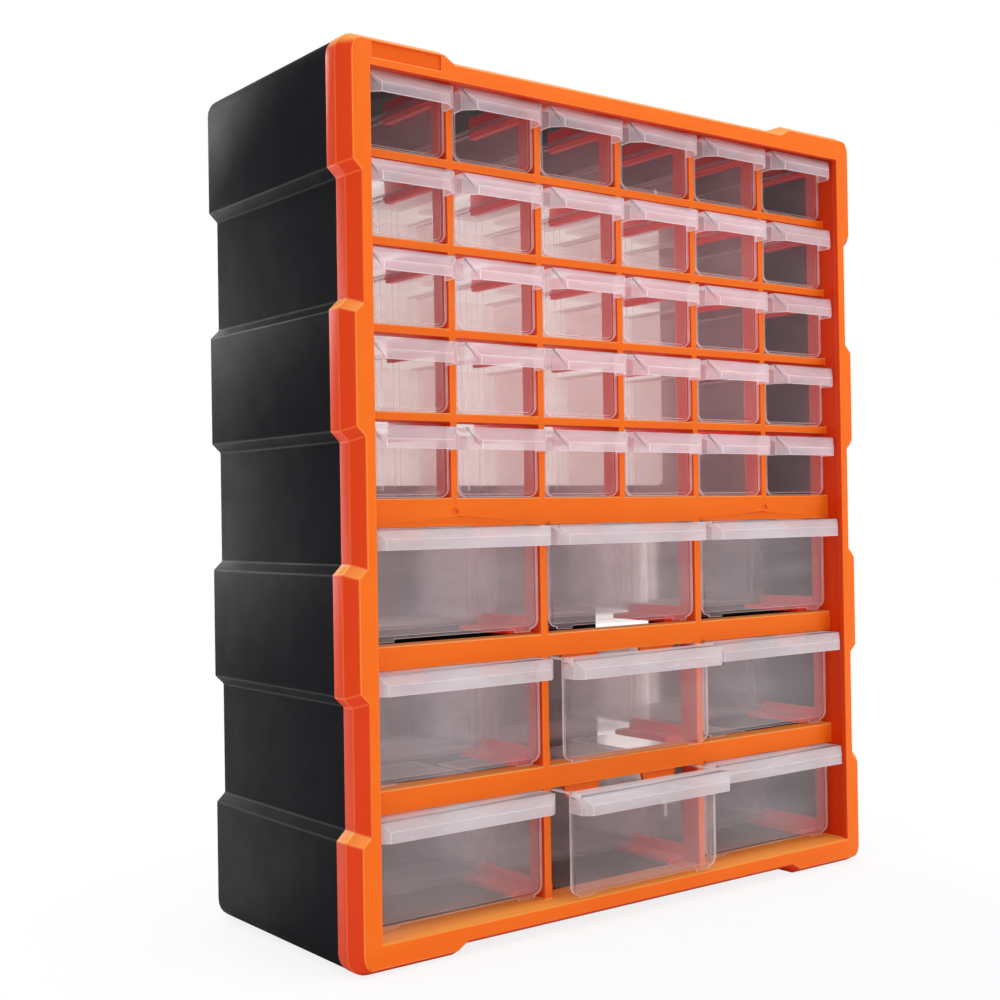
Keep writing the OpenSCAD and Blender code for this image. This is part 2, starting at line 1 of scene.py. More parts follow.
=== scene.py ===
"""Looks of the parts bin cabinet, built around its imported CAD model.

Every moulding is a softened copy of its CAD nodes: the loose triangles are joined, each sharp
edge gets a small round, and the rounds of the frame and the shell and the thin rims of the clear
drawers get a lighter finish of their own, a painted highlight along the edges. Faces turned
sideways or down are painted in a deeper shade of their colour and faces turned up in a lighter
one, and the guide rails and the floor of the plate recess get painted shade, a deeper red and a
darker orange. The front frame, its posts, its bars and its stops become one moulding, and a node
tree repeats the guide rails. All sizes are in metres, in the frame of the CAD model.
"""
import logging
import math
from dataclasses import dataclass, field
from enum import Enum

import bmesh
import bpy
from mathutils import Matrix, Vector


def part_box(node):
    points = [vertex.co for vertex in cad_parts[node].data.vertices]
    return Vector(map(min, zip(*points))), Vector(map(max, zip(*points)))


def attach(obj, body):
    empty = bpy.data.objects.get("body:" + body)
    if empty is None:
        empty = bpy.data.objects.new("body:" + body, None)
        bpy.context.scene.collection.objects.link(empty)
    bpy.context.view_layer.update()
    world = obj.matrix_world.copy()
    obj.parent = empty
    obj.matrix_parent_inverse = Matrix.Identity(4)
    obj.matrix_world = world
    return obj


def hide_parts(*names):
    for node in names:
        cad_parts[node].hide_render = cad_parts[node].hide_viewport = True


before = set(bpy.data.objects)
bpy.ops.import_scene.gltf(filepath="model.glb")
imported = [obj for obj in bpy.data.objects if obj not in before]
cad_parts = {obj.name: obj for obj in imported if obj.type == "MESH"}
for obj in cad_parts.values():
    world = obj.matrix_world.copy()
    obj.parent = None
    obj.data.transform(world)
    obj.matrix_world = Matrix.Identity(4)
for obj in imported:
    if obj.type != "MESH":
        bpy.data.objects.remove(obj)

log = logging.getLogger("parts_bin_cabinet")
MM = 0.001
WELD = 0.002 * MM  # Corners nearer than this are one corner
NEAR = 0.1 * MM    # Room for rounding when a place is compared
UPRIGHT = 0.9      # Faces count as turned one way from this share of their normal
Colour = tuple[float, float, float]


def linear(red: float, green: float, blue: float) -> Colour:
    """Turn a display colour of 0 to 255 into the linear values that shaders take.

    Args:
        red: Red of the display colour.
        green: Green of the display colour.
        blue: Blue of the display colour.

    Returns:
        The linear colour.
    """
    def one(value: float) -> float:
        """Linear value of one channel."""
        v = value / 255
        return v / 12.92 if v <= 0.04045 else ((v + 0.055) / 1.055) ** 2.4
    return one(red), one(green), one(blue)


# ---- Node trees ----

class Value:
    """A socket of a node tree that takes part in Python expressions."""

    def __init__(self, graph: "Graph", socket: bpy.types.NodeSocket) -> None:
        """Keep the graph and the output socket."""
        self.graph, self.socket = graph, socket

    def maths(self, operation: str, *others: "Value | float", swap: bool = False) -> "Value":
        """Add one Math node.

        Args:
            operation: The operation of the Math node.
            others: What the value is combined with.
            swap: Whether the first of the others comes before this value.

        Returns:
            The result of the Math node.
        """
        terms = [self, *others]
        if swap:
            terms[0], terms[1] = terms[1], terms[0]
        node = self.graph.node("ShaderNodeMath", {"operation": operation}, dict(enumerate(terms)))
        return Value(self.graph, node.outputs[0])

    def __add__(self, other: "Value | float") -> "Value":
        """Sum."""
        return self.maths("ADD", other)

    def __sub__(self, other: "Value | float") -> "Value":
        """Difference."""
        return self.maths("SUBTRACT", other)

    def __rsub__(self, other: float) -> "Value":
        """Difference from a number."""
        return self.maths("SUBTRACT", other, swap=True)

    def __mul__(self, other: "Value | float") -> "Value":
        """Product."""
        return self.maths("MULTIPLY", other)

    def __pow__(self, other: float) -> "Value":
        """Power."""
        return self.maths("POWER", other)

    __radd__ = __add__
    __rmul__ = __mul__

    def ramped(self, low: float, high: float) -> "Value":
        """Run smoothly from 0 at low to 1 at high.

        Args:
            low: Value that becomes 0.
            high: Value that becomes 1.

        Returns:
            The mask.
        """
        settings = {"interpolation_type": "SMOOTHSTEP"}
        inputs = {"Value": self, "From Min": low, "From Max": high}
        return self.graph.value("ShaderNodeMapRange", settings, inputs)


class Graph:
    """Adds nodes to one tree."""

    def __init__(self, tree: bpy.types.NodeTree) -> None:
        """Start with an empty tree."""
        self.tree = tree
        tree.nodes.clear()

    def node(self, kind: str, settings: dict | None = None,
             inputs: dict | None = None) -> bpy.types.Node:
        """Add one node.

        Args:
            kind: Type of the node.
            settings: Attributes of the node, set before its sockets.
            inputs: A value, a link or a node for each socket, by name or by index.

        Returns:
            The new node.
        """
        made = self.tree.nodes.new(kind)
        for name, setting in (settings or {}).items():
            setattr(made, name, setting)
        for key, content in (inputs or {}).items():
            socket = made.inputs[key]
            if isinstance(content, Value):
                self.tree.links.new(content.socket, socket)
            elif isinstance(content, bpy.types.NodeSocket):
                self.tree.links.new(content, socket)
            elif isinstance(content, bpy.types.Node):
                self.tree.links.new(content.outputs[0], socket)
            elif isinstance(content, (tuple, list)) and len(content) == 3 \
                    and len(getattr(socket, "default_value", ())) == 4:
                socket.default_value = (*content, 1.0)
            else:
                socket.default_value = content
        return made

    def value(self, kind: str, settings: dict | None = None, inputs: dict | None = None,
              output: str | int = 0) -> Value:
        """Add one node and take one of its outputs.

        Args:
            kind: Type of the node.
            settings: Attributes of the node.
            inputs: Values or links of its sockets.
            output: Name or index of the output.

        Returns:
            The output as a value for expressions.
        """
        return Value(self, self.node(kind, settings, inputs).outputs[output])

    def mix(self, factor: "Value | float", low: "Value | Colour", high: "Value | Colour") -> Value:
        """Mix two colours.

        Args:
            factor: Share of the second colour.
            low: First colour.
            high: Second colour.

        Returns:
            The mixed colour.
        """
        return self.value("ShaderNodeMix", {"data_type": "RGBA"},
                          {"Factor": factor, 6: low, 7: high}, 2)


class Surface(Graph):
    """The shader tree of one material."""

    def __init__(self, name: str) -> None:
        """Make the material and its texture coordinates."""
        self.material = bpy.data.materials.new(name)
        self.material.use_nodes = True
        super().__init__(self.material.node_tree)
        coordinates = self.node("ShaderNodeTexCoord")
        self.place = Value(self, coordinates.outputs["Object"])
        self.normal = Value(self, coordinates.outputs["Normal"])

    def noise(self, size: float, detail: float = 2.0, rough: float = 0.5,
              stretch: Colour = (1, 1, 1)) -> Value:
        """Add noise that has features of a given size.

        Args:
            size: Rough size of the features in metres.
            detail: Octaves of the noise.
            rough: Strength of the finer octaves.
            stretch: Scale of the pattern along X, Y and Z.

        Returns:
            The noise, about 0.5 on average.
        """
        where = self.value("ShaderNodeMapping", None, {"Vector": self.place, "Scale": stretch})
        return self.value("ShaderNodeTexNoise", None,
                          {"Vector": where, "Scale": 1 / size, "Detail": detail,
                           "Roughness": rough})

    def bump(self, height: Value, depth: float, strength: float = 1.0) -> Value:
        """Turn a height of 0 to 1 into a normal.

        Args:
            height: The height.
            depth: Depth of the full height in metres.
            strength: Strength of the bump.

        Returns:
            The normal.
        """
        return self.value("ShaderNodeBump", None,
                          {"Height": height, "Distance": depth, "Strength": strength})

    def finish(self, shader: bpy.types.Node) -> bpy.types.Material:
        """Connect the shader to the output and return the material."""
        self.node("ShaderNodeOutputMaterial", None, {"Surface": shader})
        return self.material


# ---- Finishes ----

@dataclass(frozen=True)
class MouldedPlastic:
    """Opaque moulded plastic with soft gloss, slight flow clouds and a fine grain.

    Attributes:
        name: Name of the material.
        colour: Main colour.
        cloud_colour: Colour of the faint clouds that the flow of the plastic leaves.
        side_shade_colour: Colour of faces turned sideways or down: painted shade, a deeper tone.
        top_light_colour: Colour of faces turned up: painted light, a lighter tone.
        cloud_share: Strength of the clouds.
        roughness: Middle roughness.
        roughness_range: How much the roughness varies.
        grain_size: Size of the surface grain in metres.
        grain_depth: Depth of the surface grain in metres.
        specular: Specular level.
    """

    name: str
    colour: Colour
    cloud_colour: Colour
    side_shade_colour: Colour
    top_light_colour: Colour
    cloud_share: float = 0.3
    roughness: float = 0.38
    roughness_range: float = 0.1
    grain_size: float = 0.0012
    grain_depth: float = 0.00003
    specular: float = 0.5

    def build(self) -> bpy.types.Material:
        """Make the material."""
        s = Surface(self.name)
        clouds = s.noise(0.045, 3.0).ramped(0.35, 0.7)
        streaks = s.noise(0.012, 2.0, 0.5, (0.25, 1, 1)).ramped(0.4, 0.75)
        facing = s.value("ShaderNodeSeparateXYZ", None, {0: s.normal}, "Y")
        rising = s.value("ShaderNodeSeparateXYZ", None, {0: s.normal}, "Z")
        front = s.mix(clouds * self.cloud_share + streaks * (self.cloud_share * 0.4),
                      self.colour, self.cloud_colour)
        # Painted shade on faces turned sideways or down and painted light on faces turned up, by
        # the direction of their normal.
        turned = s.mix((facing * -1.0).ramped(0.72, 0.98), self.side_shade_colour, front)
        colour = s.mix(rising.ramped(0.2, 0.65), turned, self.top_light_colour)
        rubbed = s.noise(0.02, 4.0, 0.6)
        grain = s.noise(self.grain_size, 2.0, 0.6)
        return s.finish(s.node("ShaderNodeBsdfPrincipled", None, {
            "Base Color": colour,
            "Roughness": (rubbed - 0.5) * (2 * self.roughness_range) + self.roughness,
            "Specular IOR Level": self.specular,
            "Normal": s.bump(grain, self.grain_depth)}))


@dataclass(frozen=True)
class FrostedPlastic:
    """Clear plastic with a milky haze, which is denser where the wall is seen at a slant.

    Attributes:
        name: Name of the material.
        colour: Colour of the haze.
        haze: Cover of one surface seen straight on.
        slant_haze: Cover of one surface seen edge on.
        cloud_share: How much the haze varies.
        roughness: Middle roughness.
        ripple_depth: Depth of the faint ripples in metres.
        tint: Colour that light takes on as it goes through one surface.
        back_share: Share of the haze that glows with the light from behind.
        clear_front: Share of the haze on the parts of the walls near the front panel.
        clear_reach: Places along Y between which the haze becomes full.
    """

    name: str
    colour: Colour
    haze: float
    slant_haze: float
    cloud_share: float = 0.35
    roughness: float = 0.28
    ripple_depth: float = 0.0001
    tint: Colour = (0.985, 0.966, 0.957)
    back_share: float = 0.5
    clear_front: float = 1.0
    clear_reach: tuple[float, float] = (-12 * MM, 12 * MM)

    def build(self) -> bpy.types.Material:
        """Make the material."""
        s = Surface(self.name)
        slant = s.value("ShaderNodeLayerWeight", None, {"Blend": 0.5}, "Facing") ** 2.5
        flow = s.noise(0.03, 3.0, 0.55, (0.4, 1, 1.6)).ramped(0.3, 0.75)
        scuffs = s.noise(0.0035, 3.0, 0.7, (0.15, 1, 1)).ramped(0.58, 0.72)
        depth = s.value("ShaderNodeSeparateXYZ", None, {0: s.place}, "Y")
        front = depth.ramped(*self.clear_reach) * (1 - self.clear_front) + self.clear_front
        cover = (slant * (self.slant_haze - self.haze) + self.haze) * front
        clouds = (flow - 0.5) * self.cloud_share + scuffs * (self.cloud_share * 0.5) + 1
        ripples = s.noise(0.018, 2.0, 0.5)
        skin = s.node("ShaderNodeBsdfPrincipled", None, {
            "Base Color": self.colour,
            "Roughness": scuffs * 0.15 + self.roughness,
            "IOR": 1.49,
            "Normal": s.bump(ripples, self.ripple_depth)})
        lit_through = s.node("ShaderNodeBsdfTranslucent", None, {"Color": self.colour})
        haze = s.node("ShaderNodeMixShader", None,
                      {"Fac": self.back_share, 1: skin, 2: lit_through})
        clear = s.node("ShaderNodeBsdfTransparent", None, {"Color": self.tint})
        return s.finish(s.node("ShaderNodeMixShader", None,
                               {"Fac": cover * clouds, 1: clear, 2: haze}))


@dataclass
class Palette:
    """All finishes of the cabinet, made once."""

    orange: bpy.types.Material = field(default_factory=lambda: MouldedPlastic(
        "orange_plastic", linear(252, 112, 20), linear(255, 126, 30), linear(230, 64, 12),
        linear(255, 160, 70), roughness=0.42, specular=0.16).build())
    # Lighter orange for the rounds: a painted highlight along the edges.
    orange_edge_highlight: bpy.types.Material = field(default_factory=lambda: MouldedPlastic(
        "orange_plastic_edge_highlight", linear(255, 138, 44), linear(255, 150, 60), linear(240, 88, 24),
        linear(255, 176, 96), roughness=0.34, grain_depth=0.00001, specular=0.3).build())
    # Deeper red for the guide rails: painted shade of the rails deep inside the shell.
    orange_inside_shade: bpy.types.Material = field(default_factory=lambda: MouldedPlastic(
        "orange_plastic_inside_shade", linear(255, 70, 44), linear(255, 84, 54), linear(255, 52, 44),
        linear(255, 90, 60), roughness=0.45, specular=0.12).build())
    # Darker orange for the floor of the plate recess: painted shade of the recess; its coarser
    # grain is the plate's own texture.
    plate_shade: bpy.types.Material = field(default_factory=lambda: MouldedPlastic(
        "orange_plate_recess_shade", linear(240, 96, 18), linear(250, 110, 24), linear(232, 76, 14),
        linear(255, 150, 60), roughness=0.55, grain_size=0.0015, grain_depth=0.00012,
        specular=0.12).build())
    black: bpy.types.Material = field(default_factory=lambda: MouldedPlastic(
        "black_plastic", linear(18, 18, 22), linear(25, 25, 30), linear(16, 16, 21),
        linear(22, 22, 26), cloud_share=0.5, roughness=0.65, grain_size=0.0008,
        grain_depth=0.00006, specular=0.08).build())
    # Lighter black for the rounds: a painted highlight along the edges.
    black_edge_highlight: bpy.types.Material = field(default_factory=lambda: MouldedPlastic(
        "black_plastic_edge_highlight", linear(24, 24, 29), linear(31, 31, 36), linear(20, 20, 25),
        linear(30, 30, 35), roughness=0.55, grain_depth=0.00001, specular=0.15).build())
    small_wall: bpy.types.Material = field(default_factory=lambda: FrostedPlastic(
        "small_drawer_walls", linear(250, 238, 248), 0.1, 0.36).build())
    small_panel: bpy.types.Material = field(default_factory=lambda: FrostedPlastic(
        "small_drawer_panel", linear(246, 240, 252), 0.03, 0.22).build())
    small_lip: bpy.types.Material = field(default_factory=lambda: FrostedPlastic(
        "small_drawer_lip", linear(250, 246, 255), 0.34, 0.6, roughness=0.35).build())
    large_wall: bpy.types.Material = field(default_factory=lambda: FrostedPlastic(
        "large_drawer_walls", linear(250, 250, 255), 0.4, 0.6,
        clear_front=0.12).build())
    large_panel: bpy.types.Material = field(default_factory=lambda: FrostedPlastic(
        "large_drawer_panel", linear(248, 248, 255), 0.16, 0.38).build())
    large_lip: bpy.types.Material = field(default_factory=lambda: FrostedPlastic(
        "large_drawer_lip", linear(250, 250, 255), 0.52, 0.74, roughness=0.35).build())
    # Dense white haze for the thin rims of the clear drawers: a painted highlight along their
    # edges.
    rim: bpy.types.Material = field(default_factory=lambda: FrostedPlastic(
        "rim_highlight_plastic", linear(255, 250, 253), 0.78, 0.95, roughness=0.22).build())


# ---- Mesh work ----

@dataclass(frozen=True)
class Softener:
    """Turns a CAD node into a moulding with rounded edges.

    Attributes:
        width: Width of the round on an edge between wide faces, in metres.
        share: Largest share of a narrow face that a round may take.
        min_angle: Smallest angle of an edge that gets a round, in radians.
        rim: Faces narrower than this get the edge finish too, with its painted highlight, in
            metres.
    """

    width: float
    share: float = 0.42
    min_angle: float = math.radians(28)
    rim: float = 0.0

    @staticmethod
    def flats(bm: bmesh.types.BMesh) -> dict[int, float]:
        """Find how narrow the flat that each face belongs to is.

        Args:
            bm: The mesh, with faces that lie in one plane next to each other.

        Returns:
            Twice the area over half the outline of the flat, by the index of the face.
        """
        narrow: dict[int, float] = {}
        for start in bm.faces:
            if start.index in narrow:
                continue
            flat, todo, outline = {start}, [start], 0.0
            while todo:
                face = todo.pop()
                for edge in face.edges:
                    for other in edge.link_faces:
                        if other is face:
                            continue
                        if other.normal.dot(face.normal) > 0.9999:
                            if other not in flat:
                                flat.add(other)
                                todo.append(other)
                        else:
                            outline += edge.calc_length()
            area = sum(f.calc_area() for f in flat)
            for face in flat:
                narrow[face.index] = 2 * area / max(outline, 1e-9)
        return narrow

    def joined(self, source: bpy.types.Mesh) -> bpy.types.Mesh:
        """Join the loose triangles of a CAD mesh and mark how far each edge is rounded.

        Args:
            source: The mesh of the CAD node, which stays as it is.

        Returns:
            A new mesh with bevel weights, its narrow faces in the second material slot.
        """
        bm = bmesh.new()
        bm.from_mesh(source)
        bmesh.ops.remove_doubles(bm, verts=bm.verts, dist=WELD)
        bmesh.ops.dissolve_limit(bm, angle_limit=math.radians(0.4), verts=bm.verts,
                                 edges=bm.edges, use_dissolve_boundaries=False)
        bmesh.ops.connect_verts_concave(bm, faces=[f for f in bm.faces if len(f.verts) > 4])
        bm.faces.index_update()
        narrow = self.flats(bm)
        weights = bm.edges.layers.float.new("bevel_weight_edge")
        for edge in bm.edges:
            if len(edge.link_faces) == 2 and edge.calc_face_angle(0) > self.min_angle:
                room = self.share * min(narrow[f.index] for f in edge.link_faces)
                edge[weights] = min(1.0, room / self.width)
        for face in bm.faces:
            face.smooth = True
            face.material_index = 1 if narrow[face.index] < self.rim else 0
        mesh = bpy.data.meshes.new("joined")
        bm.to_mesh(mesh)
        bm.free()
        return mesh

    def build(self, source: bpy.types.Mesh, face: bpy.types.Material,
              edge: bpy.types.Material) -> bpy.types.Mesh:
        """Make the softened mesh.

        Args:
            source: The mesh of the CAD node.
            face: Finish of the faces.
            edge: Finish of the rounds and of narrow faces, mostly lighter: a painted highlight.

        Returns:
            A plain mesh with its rounds in place.
        """
        work = bpy.data.objects.new("softening", self.joined(source))
        bpy.context.scene.collection.objects.link(work)
        work.data.materials.append(face)
        work.data.materials.append(edge)
        bevel = work.modifiers.new("round", "BEVEL")
        bevel.limit_method, bevel.width, bevel.segments = "WEIGHT", self.width, 2
        bevel.use_clamp_overlap, bevel.harden_normals, bevel.material = False, True, 1
        done = plain_mesh(work)
        bpy.data.objects.remove(work)
        return done


def plain_mesh(obj: bpy.types.Object) -> bpy.types.Mesh:
    """Evaluate the modifiers of an object.

    Args:
        obj: The object with live modifiers.

    Returns:
        The resulting mesh, without modifiers.
    """
    graph = bpy.context.evaluated_depsgraph_get()
    return bpy.data.meshes.new_from_object(obj.evaluated_get(graph), preserve_all_data_layers=True,
                                           depsgraph=graph)


def welded(source: bpy.types.Mesh) -> bpy.types.Object:
    """Make an object of a CAD mesh with its loose triangles joined.

    Args:
        source: The mesh of the CAD node, which stays as it is.

    Returns:
        A new object in the scene, for a modifier to work on.
    """
    bm = bmesh.new()
    bm.from_mesh(source)
    bmesh.ops.remove_doubles(bm, verts=bm.verts, dist=WELD)
    mesh = bpy.data.meshes.new("welded")
    bm.to_mesh(mesh)
    bm.free()
    work = bpy.data.objects.new("welded", mesh)
    bpy.context.scene.collection.objects.link(work)
    return work


def loose_parts(source: bpy.types.Mesh) -> list[list[Vector]]:
    """Find the solids that a CAD mesh is made of.

    Args:
        source: The mesh of the CAD node.

    Returns:
        The places of the corners of each solid.
    """
    bm = bmesh.new()
    bm.from_mesh(source)
    bmesh.ops.remove_doubles(bm, verts=bm.verts, dist=WELD)
    left, parts = set(bm.verts), []
    while left:
        todo, part = [left.pop()], []
        while todo:
            vertex = todo.pop()
            part.append(vertex.co.copy())
            for edge in vertex.link_edges:
                other = edge.other_vert(vertex)
                if other in left:
                    left.remove(other)
                    todo.append(other)
        parts.append(part)
    bm.free()
    return parts


def placed(mesh: bpy.types.Mesh, name: str) -> bpy.types.Object:
    """Put a finished mesh in the scene.

    Args:
        mesh: The mesh, with its place in its vertices.
        name: Name of the piece.

    Returns:
        The new object, at the origin.
    """
    mesh.name = name
    obj = bpy.data.objects.new(name, mesh)
    bpy.context.scene.collection.objects.link(obj)
    return obj


# ---- Sub-assemblies ----

@dataclass
class FrontFrame:
    """The orange front frame with its posts, bars and stops, made one moulding.

    Attributes:
        palette: The finishes.
        softener: How far its edges are rounded.
        parts: The CAD nodes that the moulding joins, the rim first.
        plate_depth: Depth of the bare plate recess.
        plate_low: Lowest place of the plate recess below the top.
    """

    palette: Palette
    softener: Softener = field(default_factory=lambda: Softener(0.55 * MM))
    parts: tuple[str, ...] = ("front_frame", "bars", "posts", "drawer_stops")
    plate_depth: float = 1.0 * MM
    plate_low: float = 13.0 * MM

    def union(self) -> bpy.types.Mesh:
        """Join the CAD nodes, so that no seam is left where they touch."""
        works = [welded(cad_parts[part].data) for part in self.parts]
        for work in works[1:]:
            cut = works[0].modifiers.new("joint", "BOOLEAN")
            cut.operation, cut.solver, cut.object = "UNION", "EXACT", work
        done = plain_mesh(works[0])
        for work in works:
            bpy.data.objects.remove(work)
        return done

    def build(self) -> bpy.types.Object:
        """Replace the CAD nodes of the frame by one softened moulding."""
        mesh = self.softener.build(self.union(), self.palette.orange, self.palette.orange_edge_highlight)
        mesh.materials.append(self.palette.plate_shade)
        low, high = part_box("front_frame")
        floor_y = low[1] + self.plate_depth
        # The floor of the plate recess takes the darker orange, painted shade.
        for polygon in mesh.polygons:
            middle = polygon.center
            at_floor = polygon.normal.y < -UPRIGHT and abs(middle.y - floor_y) < NEAR
            if at_floor and middle.z > high[2] - self.plate_low and middle.x < 0:
                polygon.material_index = 2
        piece = placed(mesh, "frame_moulding")
        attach(piece, "cabinet")
        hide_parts(*self.parts)
        return piece


class GuideKind(Enum):
    """The two sizes of guide rail: first row, last row and how far their webs are raised."""

    SMALL = (1, 5, 4.6 * MM)
    LARGE = (6, 8, 0.0)


@dataclass
class GuideRails:
    """The guide rails behind the posts; a node tree repeats the rails of one row.

    Attributes:
        palette: The finishes.
        kind: Which rows the rails belong to.
        softener: How far the edges are rounded.
        inner_half: Rails nearer to the middle than this are repeated from post to post.
        web_top: Corners this near to the top of the rails belong to the top of their webs.
    """

    palette: Palette
    kind: GuideKind
    softener: Softener = field(default_factory=lambda: Softener(0.3 * MM))
    inner_half: float = 150 * MM
    web_top: float = 2 * MM

    def sizes(self) -> dict[str, float]:
        """Read the counts and distances of the rails from the CAD nodes."""
        first, last, _ = self.kind.value
        rails = loose_parts(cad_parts[f"guides_row_{first}"].data)
        middles = sorted(sum(v.x for v in part) / len(part) for part in rails)
        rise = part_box(f"guides_row_{first}")[0][2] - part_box(f"guides_row_{first + 1}")[0][2]
        pitch = middles[2] - middles[1]
        return {"Columns": len(rails) - 2, "Column Pitch": pitch, "Rows": last - first + 1,
                "Row Pitch": rise, "Inner Half": self.inner_half,
                "First Inner": middles[1] + pitch / 4}

    def tree(self, sizes: dict[str, float]) -> bpy.types.NodeTree:
        """Make the node tree that repeats the rails.

        Args:
            sizes: The named sizes, which become inputs of the tree.

        Returns:
            The tree.
        """
        tree = bpy.data.node_groups.new(f"{self.kind.name.lower()}_guides", "GeometryNodeTree")
        tree.interface.new_socket("Geometry", in_out="INPUT", socket_type="NodeSocketGeometry")
        for name in sizes:
            kind = "NodeSocketInt" if name in ("Columns", "Rows") else "NodeSocketFloat"
            tree.interface.new_socket(name, in_out="INPUT", socket_type=kind)
        tree.interface.new_socket("Geometry", in_out="OUTPUT", socket_type="NodeSocketGeometry")
        g = Graph(tree)
        given = g.node("NodeGroupInput").outputs
        x = g.value("ShaderNodeSeparateXYZ", None, {0: g.node("GeometryNodeInputPosition")}, "X")
        inner = x.maths("ABSOLUTE").maths("LESS_THAN", Value(g, given["Inner Half"]))
        split = g.node("GeometryNodeSeparateGeometry", {"domain": "POINT"},
                       {"Geometry": given["Geometry"], "Selection": inner})
        spare = x.maths("GREATER_THAN", Value(g, given["First Inner"]))
        rail = g.node("GeometryNodeDeleteGeometry", {"domain": "POINT"},
                      {"Geometry": split.outputs["Selection"], "Selection": spare})
        across = g.node("ShaderNodeCombineXYZ", None, {"X": given["Column Pitch"]})
        columns = self.repeat(g, rail.outputs[0], given["Columns"], across)
        ends = g.node("GeometryNodeJoinGeometry", None, {0: columns})
        g.tree.links.new(split.outputs["Inverted"], ends.inputs[0])
        fall = Value(g, given["Row Pitch"]) * -1.0
        down = g.node("ShaderNodeCombineXYZ", None, {"Z": fall})
        rows = self.repeat(g, ends.outputs[0], given["Rows"], down)
        solid = g.node("GeometryNodeRealizeInstances", None, {"Geometry": rows})
        finish = g.node("GeometryNodeSetMaterial", None,
                        {"Geometry": solid, "Material": self.palette.orange_inside_shade})
        g.node("NodeGroupOutput", None, {"Geometry": finish})
        return tree

    @staticmethod
    def repeat(g: Graph, geometry: bpy.types.NodeSocket, count: bpy.types.NodeSocket,
               step: bpy.types.Node) -> bpy.types.NodeSocket:
        """Repeat a geometry along a line.

        Args:
            g: The graph that gets the nodes.
            geometry: What is repeated.
            count: How often it is repeated.
            step: The step from one to the next.

        Returns:
            The instances.
        """
        line = g.node("GeometryNodeMeshLine", {"mode": "OFFSET"}, {"Count": count, "Offset": step})
        return g.node("GeometryNodeInstanceOnPoints", None,
                      {"Points": line, "Instance": geometry}).outputs[0]

    def build(self) -> bpy.types.Object:
        """Replace the CAD rails of these rows."""
        first, last, raised = self.kind.value
        nodes = [f"guides_row_{row}" for row in range(first, last + 1)]
        # The rails take the deeper red, painted shade, on their faces and their rounds.
        mesh = self.softener.build(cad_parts[nodes[0]].data, self.palette.orange_inside_shade,
                                   self.palette.orange_inside_shade)
        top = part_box(nodes[0])[1][2]
        for vertex in mesh.vertices:
            if vertex.co.z > top - self.web_top:
                vertex.co.z += raised
        sizes = self.sizes()
        tree = self.tree(sizes)
        work = bpy.data.objects.new("repeating", mesh)
        bpy.context.scene.collection.objects.link(work)
        modifier = work.modifiers.new("rails", "NODES")
        modifier.node_group = tree
        for item in tree.interface.items_tree:
            if item.in_out == "INPUT" and item.name in sizes:
                modifier[item.identifier] = sizes[item.name]
        repeated = plain_mesh(work)
        bpy.data.objects.remove(work)
        piece = placed(repeated, f"{self.kind.name.lower()}_guide_rails")
        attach(piece, "cabinet")
        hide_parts(*nodes)
        return piece


@dataclass
class RearShell:
    """The black rear shell with its stepped walls."""

    palette: Palette
    softener: Softener = field(default_factory=lambda: Softener(0.7 * MM))

    def build(self) -> bpy.types.Object:
        """Replace the CAD shell by its softened copy."""
        mesh = self.softener.build(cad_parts["rear_shell"].data, self.palette.black,
                                   self.palette.black_edge_highlight)
        piece = placed(mesh, "shell_moulding")
        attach(piece, "cabinet")
        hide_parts("rear_shell")
        return piece


class DrawerKind(Enum):
    """The two sizes of drawer, with their rows, their columns and the height of their lip."""

    SMALL = ("small_drawer", 5, 6, 12.2 * MM)
    LARGE = ("large_drawer", 3, 3, 11.2 * MM)


@dataclass
class Drawers:
    """All drawers of one size; one softened mesh is shaped and set in every place."""

    palette: Palette
    kind: DrawerKind
    softener: Softener = field(default_factory=lambda: Softener(0.22 * MM, rim=1.7 * MM))
    panel_y: float = 15.6 * MM - 71.3 * MM
    panel_t: float = 1.5 * MM
    rim_h: float = 1.4 * MM

    def template(self, node: str) -> bpy.types.Mesh:
        """Soften one drawer and give its handle lip the frosted finish.

        The bright finish stays on the edges that catch the light: those of the lip and the
        front panel, and the rim along the top.

        Args:
            node: Name of the CAD node.

        Returns:
            The mesh, in the place of that node.
        """
        small = self.kind is DrawerKind.SMALL
        wall = self.palette.small_wall if small else self.palette.large_wall
        mesh = self.softener.build(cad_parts[node].data, wall, self.palette.rim)
        mesh.materials.append(self.palette.small_lip if small else self.palette.large_lip)
        mesh.materials.append(self.palette.small_panel if small else self.palette.large_panel)
        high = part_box(node)[1][2]
        lip_low = high - self.kind.value[3] - NEAR
        panel_front = self.panel_y - 2 * NEAR
        panel_back = self.panel_y + self.panel_t + 2 * NEAR
        for polygon in mesh.polygons:
            middle = polygon.center
            bright = polygon.material_index == 1
            if middle.y > panel_back and middle.z < high - self.rim_h:
                polygon.material_index = 0
            elif not bright and middle.y < panel_front and middle.z > lip_low:
                polygon.material_index = 2
            elif not bright and middle.y < panel_back:
                polygon.material_index = 3
        return mesh

    def build(self) -> list[bpy.types.Object]:
        """Replace every drawer of this size."""
        name, rows, columns, _ = self.kind.value
        first = f"{name}_1_1"
        template = self.template(first)
        home = Vector(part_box(first)[0])
        pieces = []
        for row in range(1, rows + 1):
            for column in range(1, columns + 1):
                node = f"{name}_{row}_{column}"
                mesh = template.copy()
                mesh.transform(Matrix.Translation(Vector(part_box(node)[0]) - home))
                piece = placed(mesh, f"{node}_moulding")
                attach(piece, node)
                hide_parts(node)
                pieces.append(piece)
        return pieces


# ---- Studio ----

